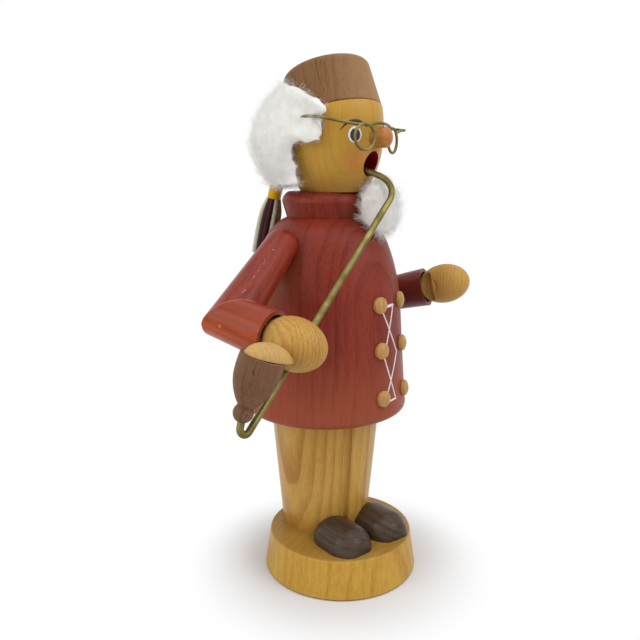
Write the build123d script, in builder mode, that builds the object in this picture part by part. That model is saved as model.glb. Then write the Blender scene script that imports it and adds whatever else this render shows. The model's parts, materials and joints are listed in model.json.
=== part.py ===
"""German incense smoker: a turned wooden figure with a pipe, in millimetres, +Z up.

The turning axis of the figure is the Z axis. The upper body looks along -Y and its right hand is at -X.
The base, legs and shoes look a little further to the figure's right, as the upper body can be turned on them.
"""
import os
from math import cos, radians, sin

from build123d import *

os.makedirs("parts", exist_ok=True)

# Room in the joints
GLUE_FIT = 0.02
TENON_FIT = 0.05
SEAT_GAP = 0.05
COPE_GAP = 0.12
WOOL_GAP = 0.3

# Base, legs and shoes
BASE_R = 29.4
BASE_TOP_R = 27.2
BASE_H = 14.6
BASE_FORWARD = 10.6
BASE_TURN = 23.0
BASE_TOP_ROUND = 0.8
BASE_FOOT_ROUND = 0.6
LEG_R = 16.8
LEG_TOP_R = 21.0
LEG_DOWEL_R = 4.0
LEG_DOWEL_L = 17.0
LEG_SOCKET = 9.0
JACKET_Z = 61.6
GROOVE_TURN = 32.0
GROOVE_R = 1.5
TENON_R = 17.5
TENON_TOP = 72.6
TENON_CHAMFER = 1.0
AIR_SLOT_IN = 16.4
AIR_SLOT_OUT = 20.4
AIR_SLOT_W = 1.6
AIR_SLOT_H = 1.0
SHOE_W = 17.4
SHOE_L = 22.4
SHOE_H = 8.6
SHOE_X = 9.2
SHOE_FORWARD = 22.1
SHOE_TURN = 19.0

# Incense tray
TRAY_R = 11.5
TRAY_FLOOR_R = 8.9
TRAY_H = 3.2
TRAY_T = 0.6
NAIL_R = 0.8
NAIL_L = 9.0
NAIL_HEAD_R = 2.2
NAIL_HEAD_H = 1.0

# Jacket
JACKET_R = 31.0
JACKET_HEM = 3.2
JACKET_SIDE = [(30.4, 72.0), (29.6, 83.0), (28.8, 95.0), (27.8, 107.0), (26.4, 114.5), (24.2, 122.0)]
SHOULDER_SLOPE = [(21.0, 128.6), (17.4, 132.4)]
COLLAR_GROOVE_R = 14.3
COLLAR_GROOVE_Z = 134.2
COLLAR_R = 16.0
COLLAR_RIDGE_Z = 139.9
COLLAR_TOP_R = 13.7
COLLAR_TOP = 143.4
CHAMBER_TOP = 112.0
FLUE_R = 4.0
BUTTON_Z = (104.6, 88.4, 71.0)
BUTTON_ANGLE = 15.0
BUTTON_R = 3.0
BUTTON_H = 2.6
PEG_R = 1.0
PEG_L = 4.0

# Head and cap: the face looks a little to the figure's right
HEAD_Y = -3.5
HEAD_Z = 143.45
HEAD_TOP = 181.0
HEAD_TOP_R = 13.6
HEAD_SIDE = [(15.5, 150.7), (16.9, 155.2), (17.8, 165.5), (16.9, 174.6)]
NECK_R = 12.0
HEAD_TENON_R = 6.0
HEAD_TENON_L = 10.0
HEAD_FLUE_R = 3.4
FACE_TURN = 3.0
MOUTH_Z = 153.2
MOUTH_R = 4.2
NOSE_Z = 162.0
NOSE_R = 3.6
NOSE_TIP = 23.8
NOSE_PEG_R = 2.5
NOSE_PEG_END = 11.4
CAP_TILT = 17.5
CAP_TURN = -18.0
CAP_Z = 169.2
CAP_Y = -3.8
CAP_R = 17.2
CAP_TOP_R = 15.7
CAP_H = 17.6
CAP_DOWEL_R = 3.0
CAP_SOCKET = 7.0

# Arms: sleeves that widen towards the cuff, the left elbow hanging lower and its hand held up
SHOULDER = (-25.0, 1.4, 126.5)
ELBOW = (-55.2, -0.6, 105.4)
HAND = (-55.0, -25.0, 100.7)
LEFT_ELBOW = (50.5, -0.6, 98.2)
LEFT_HAND = (54.5, -25.6, 104.6)
ELBOW_R = 7.3
SLEEVE_FLARE = 0.045
CUFF_BACK = 8.1
CUFF_R = 6.7
CUFF_DEPTH = 4.6
SHOULDER_DOWEL_Z = 124.0
SHOULDER_DOWEL_ROOT = 18.3
SHOULDER_DOWEL_R = 2.0
SHOULDER_DOWEL_L = 10.2
ELBOW_DOWEL_R = 1.5
ELBOW_DOWEL_UP = 6.6
ELBOW_DOWEL_DOWN = 4.1
DOWEL_END_GAP = 0.4
HAND_LENGTH = 21.6
HAND_R = 8.2
WRIST_R = 2.5
WRIST_L = 9.0
CREASE_R = 4.3
CREASE_HALF = 0.8
CREASE_OUT = 7.8

# Pipe: mouth end, bend under the nose, the place in the hand, and the length down to the turn
ROD_R = 1.1
ROD_MOUTH = (-1.6, -15.3, 151.6)
ROD_BEND = (0.3, -30.2, 146.6)
ROD_HAND = (-50.9, -24.7, 100.2)
ROD_LENGTH = 109.0
BEND_R = 9.0
TURN_R = 1.8
BOWL_FOOT = (-76.0, -21.35, 84.6)
BOWL_LEAN = (0.22, -0.26, 0.94)
BOWL_H = 17.1
BOWL_R = 6.6
BOWL_SIDE = [(4.0, 4.2), (5.4, 6.9), (6.2, 9.4), (6.65, 13.4)]
BOWL_WALL = 1.2
BOWL_FLOOR = 7.0
KNOB_R = 3.0
KNOB_NECK = 40.0
THUMB_PLACE = (-70.1, -25.9, 98.6)
THUMB_LEAN = (-0.91, 0.16, 0.377)
THUMB_R = 5.4
THUMB_LENGTH = 18.0
LEFT_THUMB_BACK = 4.6
LEFT_THUMB_OUT = 5.2
LEFT_THUMB_R = 3.4
LEFT_THUMB_LENGTH = 13.2

# Spectacles: place around the head, distance from its axis, height and facing of each lens
WIRE_R = 0.5
LENS_R = 4.2
RIGHT_LENS = (-29.8, 21.9, 161.9, -23.0)
LEFT_LENS = (23.4, 21.1, 161.2, 6.0)
BRIDGE_TOP = (-0.8, -24.3, 166.5)

# Wool
HAIR_R = 24.15
HAIR_HALF_H = 22.8
HAIR_Y = 3.6
HAIR_Z = 161.3
HAIR_LOW_Z = 146.2
HAIR_FRONT = 7.6
SIDEBURN_Z = 161.0
NAPE_FRONT = 4.5
BEARD_C = (1.6, -21.0, 138.0)
BEARD_R = 8.2
BEARD_HALF_H = 11.3

# Tassel: strands in three colours below a wound head, leaning on the back of the jacket
TASSEL_TOP = (0.0, 22.3, 145.4)
TASSEL_LEAN = 15.0
TASSEL_R = 3.9
WRAP_R = 2.7
WRAP_L = 6.0
TASSEL_L = 28.0
STRAND_HALF = 1.05
STRAND_GAP = 0.1


def unit(v):
    return Vector(*v).normalized()


def along(start, direction, distance):
    return Vector(*start) + unit(direction) * distance


def turned_front(angle):
    """Level direction to the front, turned towards the figure's right."""
    return Vector(-sin(radians(angle)), -cos(radians(angle)), 0)


def lathe_plane(origin, axis, seam=(0.3, 0.5, 1.0)):
    """Sketch plane through a turning axis: local x is the radius, local y runs along the axis."""
    a = unit(axis)
    side = a.cross(unit(seam)).normalized()
    return Plane(origin=origin, x_dir=side, z_dir=side.cross(a))


def largest(shape):
    return shape.solids().sort_by(SortBy.VOLUME)[-1]


def finish(shape, name):
    """Name a finished sub-part and write its file."""
    shape.label = name
    export_step(shape, f"parts/{name}.step")


def dowel(center, direction, radius, before, after, edge=0.3):
    with BuildPart() as pin:
        with BuildSketch(Plane(origin=along(center, direction, -before), z_dir=direction)):
            Circle(radius)
        extrude(amount=before + after)
        chamfer(pin.edges().filter_by(GeomType.CIRCLE), edge)
    return pin.part


def egg(center, axis, radius, length):
    """Ovoid turned about an axis."""
    with BuildPart() as ovoid:
        with BuildSketch(lathe_plane(center, axis)):
            with BuildLine():
                side = EllipticalCenterArc((0, 0), radius, length / 2, start_angle=-90, arc_size=180)
                Line(side @ 1, side @ 0)
            make_face()
        revolve(axis=Axis(center, axis))
    return ovoid.part


# Base: a tapered disc with a socket for the leg dowel
base_c = turned_front(BASE_TURN) * BASE_FORWARD
with BuildPart() as base:
    with BuildSketch(Plane(origin=base_c, x_dir=(1, 0, 0), z_dir=(0, -1, 0))):
        with BuildLine():
            Polyline((0, 0), (BASE_R, 0), (BASE_TOP_R, BASE_H), (0, BASE_H), close=True)
        make_face()
    revolve(axis=Axis(base_c, (0, 0, 1)))
    fillet(base.edges().filter_by(GeomType.CIRCLE).group_by(Axis.Z)[-1], BASE_TOP_ROUND)
    fillet(base.edges().filter_by(GeomType.CIRCLE).group_by(Axis.Z)[0], BASE_FOOT_ROUND)
    with Locations((0, 0, BASE_H)):
        Hole(LEG_DOWEL_R + GLUE_FIT, LEG_SOCKET)
finish(base.part, "base")

# Legs: one tapered block with a cove at the front and the back, and a tenon with an air slot for the jacket
with BuildPart() as leg_block:
    with BuildSketch(Plane.XZ):
        with BuildLine():
            Polyline(
                (0, BASE_H),
                (LEG_R, BASE_H),
                (LEG_TOP_R, JACKET_Z),
                (TENON_R, JACKET_Z),
                (TENON_R, TENON_TOP - TENON_CHAMFER),
                (TENON_R - TENON_CHAMFER, TENON_TOP),
                (0, TENON_TOP),
                close=True,
            )
        make_face()
    revolve(axis=Axis.Z)
    for way in (1, -1):
        flank = turned_front(GROOVE_TURN) * way
        rise = unit(flank * (LEG_TOP_R - LEG_R) + Vector(0, 0, JACKET_Z - BASE_H))
        groove_foot = flank * LEG_R + Vector(0, 0, BASE_H) - rise
        with BuildSketch(Plane(origin=groove_foot, z_dir=rise)):
            Circle(GROOVE_R)
        extrude(amount=JACKET_Z - BASE_H + 2.0, mode=Mode.SUBTRACT)
    rear = turned_front(GROOVE_TURN) * -1
    with BuildSketch(Plane(origin=(0, 0, JACKET_Z - AIR_SLOT_H), x_dir=rear, z_dir=(0, 0, 1))):
        with Locations(((AIR_SLOT_IN + AIR_SLOT_OUT) / 2, 0)):
            Rectangle(AIR_SLOT_OUT - AIR_SLOT_IN, AIR_SLOT_W)
    extrude(amount=TENON_TOP - JACKET_Z + 2 * AIR_SLOT_H, mode=Mode.SUBTRACT)
    with Locations(Plane(origin=(0, 0, BASE_H), z_dir=(0, 0, -1))):
        Hole(LEG_DOWEL_R + GLUE_FIT, LEG_SOCKET)
    with Locations((0, 0, TENON_TOP)):
        Hole(NAIL_R + GLUE_FIT, NAIL_L)
finish(leg_block.part, "leg_block")

with BuildPart() as leg_dowel:
    add(dowel((0, 0, BASE_H), Vector(0, 0, 1), LEG_DOWEL_R, LEG_DOWEL_L / 2, LEG_DOWEL_L / 2, edge=0.6))
finish(leg_dowel.part, "leg_dowel")

# Shoes: turned barrels sawn in half and coped to the legs
with BuildPart() as shoe_form:
    half_w = SHOE_W / 2
    half_l = SHOE_L / 2
    with BuildSketch(Plane.XY):
        with BuildLine():
            toe_shape = [(0, -1), (0.65, -0.9), (0.92, -0.6), (1, 0)]
            toe_pts = [(x * half_w, y * half_l) for x, y in toe_shape]
            toe = Spline(toe_pts, tangents=[(1, 0), (0, 1)])
            heel_pts = [(x, -y) for x, y in reversed(toe_pts)]
            heel = Spline(heel_pts, tangents=[(0, 1), (-1, 0)])
            Line(heel @ 1, toe @ 0)
        make_face()
    revolve(axis=Axis.Y)
    scale(by=(1, 1, SHOE_H / half_w))
    split(bisect_by=Plane.XY, keep=Keep.TOP)
with BuildPart() as leg_envelope:
    with BuildSketch(Plane.XZ):
        with BuildLine():
            Polyline(
                (0, BASE_H - 1),
                (LEG_R + COPE_GAP, BASE_H - 1),
                (LEG_TOP_R + COPE_GAP, JACKET_Z),
                (0, JACKET_Z),
                close=True,
            )
        make_face()
    revolve(axis=Axis.Z)
shoes_front = Location((0, 0, 0), (0, 0, -SHOE_TURN))
with BuildPart() as right_shoe:
    add(shoe_form.part.moved(shoes_front * Location((-SHOE_X, -SHOE_FORWARD, BASE_H))))
    add(leg_envelope.part, mode=Mode.SUBTRACT)
finish(right_shoe.part, "right_shoe")
with BuildPart() as left_shoe:
    add(shoe_form.part.moved(shoes_front * Location((SHOE_X, -SHOE_FORWARD, BASE_H))))
    add(leg_envelope.part, mode=Mode.SUBTRACT)
finish(left_shoe.part, "left_shoe")

# Incense tray: a pressed sheet-metal saucer nailed to the tenon
with BuildPart() as incense_tray:
    with BuildSketch(Plane.XZ):
        with BuildLine():
            Polyline(
                (NAIL_R + GLUE_FIT, TENON_TOP),
                (TRAY_FLOOR_R, TENON_TOP),
                (TRAY_R, TENON_TOP + TRAY_H),
                (TRAY_R - TRAY_T, TENON_TOP + TRAY_H),
                (TRAY_FLOOR_R - TRAY_T, TENON_TOP + TRAY_T),
                (NAIL_R + GLUE_FIT, TENON_TOP + TRAY_T),
                close=True,
            )
        make_face()
    revolve(axis=Axis.Z)
finish(incense_tray.part, "incense_tray")

with BuildPart() as tray_nail:
    nail_seat = TENON_TOP + TRAY_T
    with BuildSketch(Plane.XZ):
        with BuildLine():
            shank = Polyline(
                (0, nail_seat - NAIL_L),
                (NAIL_R, nail_seat - NAIL_L + 2 * NAIL_R),
                (NAIL_R, nail_seat),
                (NAIL_HEAD_R, nail_seat),
                (NAIL_HEAD_R, nail_seat + NAIL_HEAD_H / 4),
            )
            crown_pts = [(0.64 * NAIL_HEAD_R, nail_seat + 0.75 * NAIL_HEAD_H), (0, nail_seat + NAIL_HEAD_H)]
            crown = Spline([shank @ 1, *crown_pts], tangents=[(-0.3, 1), (-1, 0)])
            Line(crown @ 1, shank @ 0)
        make_face()
    revolve(axis=Axis.Z)
finish(tray_nail.part, "tray_nail")


# Jacket: a turned bell with a ridged collar, hollow for the smoke
def jacket_outline(grow):
    hem = JACKET_Z + SEAT_GAP
    floor = Line((0, hem), (JACKET_R - 2.2, hem))
    edge = ThreePointArc(floor @ 1, (JACKET_R - 0.55 + grow, hem + 0.95), (JACKET_R + grow, hem + JACKET_HEM))
    pts = [(r + grow, z) for r, z in [*JACKET_SIDE, *SHOULDER_SLOPE, (COLLAR_GROOVE_R, COLLAR_GROOVE_Z)]]
    wall = Spline([edge @ 1, *pts])
    flare = Line(wall @ 1, (COLLAR_R + grow, COLLAR_RIDGE_Z))
    crown_mid = (COLLAR_R - 0.75 + grow, 0.4 * COLLAR_RIDGE_Z + 0.6 * COLLAR_TOP)
    crown = ThreePointArc(flare @ 1, crown_mid, (COLLAR_TOP_R + grow, COLLAR_TOP))
    top = Line(crown @ 1, (0, COLLAR_TOP))
    Line(top @ 1, floor @ 0)


def jacket_radius(z):
    side = [(JACKET_R, JACKET_Z + JACKET_HEM), *JACKET_SIDE]
    for (r0, z0), (r1, z1) in zip(side, side[1:]):
        if z0 <= z <= z1:
            return r0 + (r1 - r0) * (z - z0) / (z1 - z0)
    return JACKET_R


button_planes = []
for button_z in BUTTON_Z:
    for side in (-1, 1):
        out = turned_front(-side * BUTTON_ANGLE)
        place = out * jacket_radius(button_z) + Vector(0, 0, button_z)
        button_planes.append(Plane(origin=place, z_dir=out + Vector(0, 0, 0.07)))

with BuildPart() as jacket_form:
    with BuildSketch(Plane.YZ):
        with BuildLine():
            jacket_outline(COPE_GAP)
        make_face()
    revolve(axis=Axis.Z)

with BuildPart() as jacket:
    with BuildSketch(Plane.YZ):
        with BuildLine():
            jacket_outline(0)
        make_face()
    revolve(axis=Axis.Z)
    with BuildSketch(Plane.XZ):
        with BuildLine():
            chamber_r = TENON_R + TENON_FIT
            chamber_low = JACKET_Z - 1.0
            bore_wall = Polyline((0, chamber_low), (chamber_r, chamber_low), (chamber_r, CHAMBER_TOP - 14.0))
            dome_pts = [(15.4, CHAMBER_TOP - 5.0), (9.0, CHAMBER_TOP)]
            dome = Spline([bore_wall @ 1, *dome_pts], tangents=[(0, 1), (-1, 0.2)])
            Polyline(dome @ 1, (0, CHAMBER_TOP + 1.0), (0, chamber_low))
        make_face()
    revolve(axis=Axis.Z, mode=Mode.SUBTRACT)
    with Locations((0, HEAD_Y, COLLAR_TOP)):
        Hole(FLUE_R, COLLAR_TOP - CHAMBER_TOP + 4.0)
        Hole(HEAD_TENON_R + GLUE_FIT, HEAD_TENON_L + 1.0)
    for side in (-1, 1):
        with Locations(Plane(origin=(side * JACKET_R, SHOULDER[1], SHOULDER_DOWEL_Z), z_dir=(side, 0, 0))):
            Hole(SHOULDER_DOWEL_R + GLUE_FIT, JACKET_R - SHOULDER_DOWEL_ROOT + DOWEL_END_GAP)
    with Locations(*[plane.offset(PEG_L / 2) for plane in button_planes]):
        Hole(PEG_R + GLUE_FIT, 1.6 * PEG_L)
finish(jacket.part, "jacket")

# Buttons: six half-round heads on pegs in two rows, one group
with BuildPart() as buttons:
    for plane in button_planes:
        with BuildSketch(lathe_plane(plane.origin - plane.z_dir * 0.3, plane.z_dir)):
            with BuildLine():
                rim = Polyline((0, 0), (BUTTON_R, 0), (BUTTON_R, 0.35 * BUTTON_H))
                crown_pts = [(0.7 * BUTTON_R, 0.8 * BUTTON_H), (0, BUTTON_H)]
                crown = Spline([rim @ 1, *crown_pts], tangents=[(0, 1), (-1, 0)])
                Line(crown @ 1, rim @ 0)
            make_face()
        revolve(axis=Axis(plane.origin, plane.z_dir))
    add(jacket_form.part, mode=Mode.SUBTRACT)
    for plane in button_planes:
        with BuildSketch(plane.offset(-PEG_L)):
            Circle(PEG_R)
        extrude(amount=PEG_L + 1.0)
finish(buttons.part, "buttons")

# Head: a turned ball on a hollow tenon, with a smoke channel to the open mouth and a slanted cap seat
cap_fall = Vector(-sin(radians(CAP_TURN)), cos(radians(CAP_TURN)), 0)
cap_axis = unit(cap_fall * sin(radians(CAP_TILT)) + Vector(0, 0, cos(radians(CAP_TILT))))
cap_c = Vector(0, CAP_Y, CAP_Z)
face = turned_front(FACE_TURN)
head_axis = Axis((0, HEAD_Y, 0), (0, 0, 1))
head_plane = Plane(origin=(0, HEAD_Y, 0), x_dir=(0, 1, 0), z_dir=(1, 0, 0))


def head_ball(grow):
    with BuildPart() as ball:
        with BuildSketch(head_plane):
            with BuildLine():
                neck = Line((0, HEAD_Z), (NECK_R + grow, HEAD_Z))
                side_pts = [(r + grow, z) for r, z in [*HEAD_SIDE, (HEAD_TOP_R, HEAD_TOP)]]
                cheek = Spline([neck @ 1, *side_pts])
                Polyline(cheek @ 1, (0, HEAD_TOP), neck @ 0)
            make_face()
        revolve(axis=head_axis)
    return ball.part


with BuildPart() as head:
    add(head_ball(0))
    split(bisect_by=Plane(origin=cap_c, z_dir=cap_axis), keep=Keep.BOTTOM)
    with BuildSketch(Plane.XY.offset(HEAD_Z)):
        with Locations((0, HEAD_Y)):
            Circle(HEAD_TENON_R)
    extrude(amount=-HEAD_TENON_L)
    with Locations(Plane(origin=(0, HEAD_Y, HEAD_Z - HEAD_TENON_L - 1.0), z_dir=(0, 0, -1))):
        Hole(HEAD_FLUE_R, MOUTH_Z + 0.9 * MOUTH_R - HEAD_Z + HEAD_TENON_L + 1.0)
    with Locations(Plane(origin=Vector(0, HEAD_Y, MOUTH_Z) + face * 20.0, z_dir=face)):
        Hole(MOUTH_R, 20.0)
    with Locations(Plane(origin=Vector(0, HEAD_Y, NOSE_Z) + face * 20.0, z_dir=face)):
        Hole(NOSE_PEG_R + GLUE_FIT, 20.4 - NOSE_PEG_END)
    with Locations(Plane(origin=cap_c, z_dir=cap_axis)):
        Hole(CAP_DOWEL_R + GLUE_FIT, CAP_SOCKET)
finish(head.part, "head")

# Nose: a round-ended peg coped to the head, with a thinner tenon
with BuildPart() as nose:
    with BuildSketch(lathe_plane((0, HEAD_Y, NOSE_Z), face)):
        with BuildLine():
            barrel = Polyline((0, 14.0), (NOSE_R, 14.0), (NOSE_R, NOSE_TIP - 2.6))
            tip_pts = [(0.72 * NOSE_R, NOSE_TIP - 0.75), (0, NOSE_TIP)]
            tip = Spline([barrel @ 1, *tip_pts], tangents=[(0, 1), (-1, 0)])
            Line(tip @ 1, barrel @ 0)
        make_face()
    revolve(axis=Axis((0, HEAD_Y, NOSE_Z), face))
    add(head_ball(SEAT_GAP), mode=Mode.SUBTRACT)
    with BuildSketch(Plane(origin=Vector(0, HEAD_Y, NOSE_Z) + face * NOSE_PEG_END, z_dir=face)):
        Circle(NOSE_PEG_R)
    extrude(amount=7.5)
finish(nose.part, "nose")


# Cap: a fez with rounded edges, leaning back and a little to the figure's left
def cap_shell(grow):
    with BuildPart() as fez:
        with BuildSketch(lathe_plane(cap_c, cap_axis)):
            with BuildLine():
                brim = Polyline(
                    (0, 0),
                    (CAP_R - 0.5 + grow, 0),
                    (CAP_R + grow, 0.7),
                    (CAP_TOP_R + grow, CAP_H - 2.4),
                )
                edge_mid = (CAP_TOP_R - 0.9 + grow, CAP_H - 0.7)
                edge = ThreePointArc(brim @ 1, edge_mid, (CAP_TOP_R - 2.8 + grow, CAP_H))
                Polyline(edge @ 1, (0, CAP_H + 0.4), brim @ 0)
            make_face()
        revolve(axis=Axis(cap_c, cap_axis))
    return fez.part


with BuildPart() as cap:
    add(cap_shell(0))
    with Locations(Plane(origin=cap_c, z_dir=cap_axis * -1)):
        Hole(CAP_DOWEL_R + GLUE_FIT, CAP_SOCKET)
finish(cap.part, "cap")

with BuildPart() as cap_dowel:
    cap_dowel_half = CAP_SOCKET - DOWEL_END_GAP
    add(dowel(cap_c, cap_axis, CAP_DOWEL_R, cap_dowel_half, cap_dowel_half, edge=0.5))
finish(cap_dowel.part, "cap_dowel")


# Sleeves: one cone sawn at the elbow and its lower half turned round, with the outer corner rounded
def sleeve_cone(start, direction, back, length, domed):
    """Cone along a direction that is ELBOW_R at its start, with SLEEVE_FLARE growing towards the cuff."""
    flare = -SLEEVE_FLARE if domed else SLEEVE_FLARE
    near_r = ELBOW_R - flare * back
    far_r = ELBOW_R + flare * length
    with BuildPart() as cone:
        with BuildSketch(lathe_plane(start, direction)):
            with BuildLine():
                side = Polyline((0, -back), (near_r, -back), (far_r, length))
                if domed:
                    dome_mid = (0.72 * far_r, length + 0.62 * far_r)
                    end = ThreePointArc(side @ 1, dome_mid, (0, length + 0.9 * far_r))
                else:
                    end = Line(side @ 1, (0, length))
                Line(end @ 1, side @ 0)
            make_face()
        revolve(axis=Axis(start, direction))
    return cone.part


def elbow_rounder(elbow, u, v):
    out = unit(u - v)
    with BuildPart() as tool:
        with BuildSketch(Plane(origin=along(elbow, out, ELBOW_R - 0.9), z_dir=out)):
            Circle(2 * ELBOW_R)
        extrude(amount=2 * ELBOW_R)
        with Locations(Location(elbow)):
            Sphere(ELBOW_R + 2.5, mode=Mode.SUBTRACT)
    return tool.part


def upper_sleeve(shoulder, elbow, u, v, mitre):
    length = (Vector(*elbow) - Vector(*shoulder)).length
    side = 1 if shoulder[0] > 0 else -1
    with BuildPart() as sleeve:
        add(sleeve_cone(elbow, u * -1, 12.0, length - 1.0, True))
        split(bisect_by=mitre, keep=Keep.BOTTOM)
        add(elbow_rounder(elbow, u, v), mode=Mode.SUBTRACT)
        add(jacket_form.part, mode=Mode.SUBTRACT)
        pin_root = (side * SHOULDER_DOWEL_ROOT, shoulder[1], SHOULDER_DOWEL_Z)
        with Locations(Plane(origin=pin_root, z_dir=(-side, 0, 0))):
            Hole(SHOULDER_DOWEL_R + GLUE_FIT, SHOULDER_DOWEL_L + DOWEL_END_GAP)
        with Locations(mitre):
            Hole(ELBOW_DOWEL_R + GLUE_FIT, ELBOW_DOWEL_UP + DOWEL_END_GAP)
    return largest(sleeve.part)


def forearm_sleeve(elbow, start, u, v, mitre, cuff):
    with BuildPart() as sleeve:
        add(sleeve_cone(start, v, 12.0, cuff, False))
        split(bisect_by=mitre, keep=Keep.TOP)
        add(elbow_rounder(elbow, u, v), mode=Mode.SUBTRACT)
        with Locations(Plane(origin=along(start, v, cuff), z_dir=v)):
            Hole(CUFF_R, CUFF_DEPTH)
            Hole(WRIST_R + GLUE_FIT, CUFF_DEPTH + 5.0)
        with Locations(Plane(origin=mitre.origin, z_dir=mitre.z_dir * -1)):
            Hole(ELBOW_DOWEL_R + GLUE_FIT, ELBOW_DOWEL_DOWN + DOWEL_END_GAP)
    return largest(sleeve.part)


# Hands: an ovoid fist on a wrist peg; the right thumb lies on the bowl, the left one inside the palm
def fist(center, v):
    with BuildPart() as fist_body:
        add(egg(center, v, HAND_R, HAND_LENGTH))
        with BuildSketch(Plane(origin=center - v * (CUFF_BACK + WRIST_L), z_dir=v)):
            Circle(WRIST_R)
        extrude(amount=WRIST_L)
    return fist_body.part


# Pipe route and bowl axis
bowl_axis = unit(BOWL_LEAN)
bowl_foot = Vector(*BOWL_FOOT)
rod_dir = unit(Vector(*ROD_HAND) - Vector(*ROD_BEND))
rod_low = along(ROD_BEND, rod_dir, ROD_LENGTH)
rod_end = bowl_foot - bowl_axis * (0.2 * KNOB_R)


# Thumb of the right hand, flat where it lies on the rim of the bowl
with BuildPart() as bowl_thumb:
    add(egg(THUMB_PLACE, unit(THUMB_LEAN), THUMB_R, THUMB_LENGTH))
    split(bisect_by=Plane(origin=bowl_foot + bowl_axis * (BOWL_H + COPE_GAP), z_dir=bowl_axis), keep=Keep.TOP)

# Arms
for name, side, elbow, hand_c in (("right", -1, ELBOW, HAND), ("left", 1, LEFT_ELBOW, LEFT_HAND)):
    shoulder = (-side * SHOULDER[0], SHOULDER[1], SHOULDER[2])
    u = unit(Vector(*elbow) - Vector(*shoulder))
    v = unit(Vector(*hand_c) - Vector(*elbow))
    reach = (Vector(*hand_c) - Vector(*elbow)).length
    fold = unit(u - v)
    lean = fold.dot(u)
    shift = ELBOW_R * SLEEVE_FLARE * lean / (1 - lean**2 - (SLEEVE_FLARE * lean) ** 2)
    start = Vector(*elbow) + fold * (2 * shift)
    mitre = Plane(origin=Vector(*elbow) + fold * shift, z_dir=unit(u + v))
    cuff = reach - CUFF_BACK
    finish(upper_sleeve(shoulder, elbow, u, v, mitre), f"{name}_upper_sleeve")
    finish(forearm_sleeve(elbow, start, u, v, mitre, cuff), f"{name}_forearm")
    pin_root = (side * SHOULDER_DOWEL_ROOT, SHOULDER[1], SHOULDER_DOWEL_Z)
    shoulder_dowel = dowel(pin_root, Vector(side, 0, 0), SHOULDER_DOWEL_R, 0, SHOULDER_DOWEL_L)
    finish(shoulder_dowel, f"{name}_shoulder_dowel")
    elbow_dowel = dowel(mitre.origin, mitre.z_dir, ELBOW_DOWEL_R, ELBOW_DOWEL_UP, ELBOW_DOWEL_DOWN)
    finish(elbow_dowel, f"{name}_elbow_dowel")
    with BuildPart() as hand:
        add(fist(start + v * reach, v))
        if name == "right":
            add(bowl_thumb.part)
            with Locations(Plane(origin=Vector(*ROD_HAND) - rod_dir * 20.0, z_dir=rod_dir * -1)):
                Hole(ROD_R + GLUE_FIT, 40.0)
        else:
            inner = Vector(-side, 0, 0)
            palm = start + v * (reach - LEFT_THUMB_BACK)
            with Locations(Plane(origin=palm + inner * CREASE_OUT, z_dir=inner)):
                Torus(CREASE_R, CREASE_HALF, mode=Mode.SUBTRACT)
            upright = unit(Vector(0, 0, 1) - v * v.Z)
            add(egg(palm + inner * LEFT_THUMB_OUT, upright, LEFT_THUMB_R, LEFT_THUMB_LENGTH))
    finish(largest(hand.part), f"{name}_hand")


# Pipe stem: one bent rod from the mouth through the hand, turned up into the bowl's foot
def rod_tube(radius):
    with BuildPart() as tube:
        with BuildLine() as line:
            FilletPolyline(ROD_MOUTH, ROD_BEND, rod_low - rod_dir * 12.0, radius=BEND_R)
        route = line.wires()[0]
        with BuildSketch(Plane(origin=route @ 0, z_dir=route % 0)):
            Circle(radius)
        sweep(path=route)
    return tube.part


with BuildPart() as pipe_stem:
    add(rod_tube(ROD_R))
    with BuildLine() as turn_line:
        FilletPolyline(rod_low - rod_dir * 12.5, rod_low, rod_end, radius=TURN_R)
    turn = turn_line.wires()[0]
    with BuildSketch(Plane(origin=turn @ 0, z_dir=turn % 0)):
        Circle(ROD_R)
    sweep(path=turn)
finish(pipe_stem.part, "pipe_stem")

# Bowl: turned and hollow, with a ball foot that takes the end of the rod
with BuildPart() as pipe_bowl:
    with BuildSketch(lathe_plane(bowl_foot, bowl_axis)):
        with BuildLine():
            neck = (KNOB_R * cos(radians(KNOB_NECK)), KNOB_R * sin(radians(KNOB_NECK)))
            knob = ThreePointArc((0, -KNOB_R), (KNOB_R, 0), neck)
            outside = Spline([neck, *BOWL_SIDE, (BOWL_R, BOWL_H)])
            rim = Line(outside @ 1, (BOWL_R - BOWL_WALL, BOWL_H))
            inside_mid = (BOWL_R - BOWL_WALL - 0.3, 0.66 * BOWL_H)
            inside = Spline(rim @ 1, inside_mid, (0, BOWL_FLOOR), tangents=[(0, -1), (-1, 0)])
            Line(inside @ 1, knob @ 0)
        make_face()
    revolve(axis=Axis(bowl_foot, bowl_axis))
    with Locations(Plane(origin=rod_end, z_dir=unit(rod_end - rod_low))):
        Hole(ROD_R + GLUE_FIT, 6.0)
finish(pipe_bowl.part, "pipe_bowl")


# Spectacles: bent wire with two round loops, a bridge over the nose and two temples under the hair
def round_head(angle, out, z):
    a = radians(angle)
    return Vector(out * sin(a), HEAD_Y - out * cos(a), z)


def lens_point(lens, angle):
    """Point on a lens loop, with the angle counted upwards from its left-hand side."""
    place, out, z, facing = lens
    side = Vector(cos(radians(facing)), sin(radians(facing)), 0)
    a = radians(angle)
    return round_head(place, out, z) + (side * cos(a) + Vector(0, 0, sin(a))) * LENS_R


def wire_run(points, radius):
    with BuildPart() as run:
        with BuildLine() as line:
            Spline(*points)
        path = line.wires()[0]
        with BuildSketch(Plane(origin=path @ 0, z_dir=path % 0)):
            Circle(radius)
        sweep(path=path)
    return run.part


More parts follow.
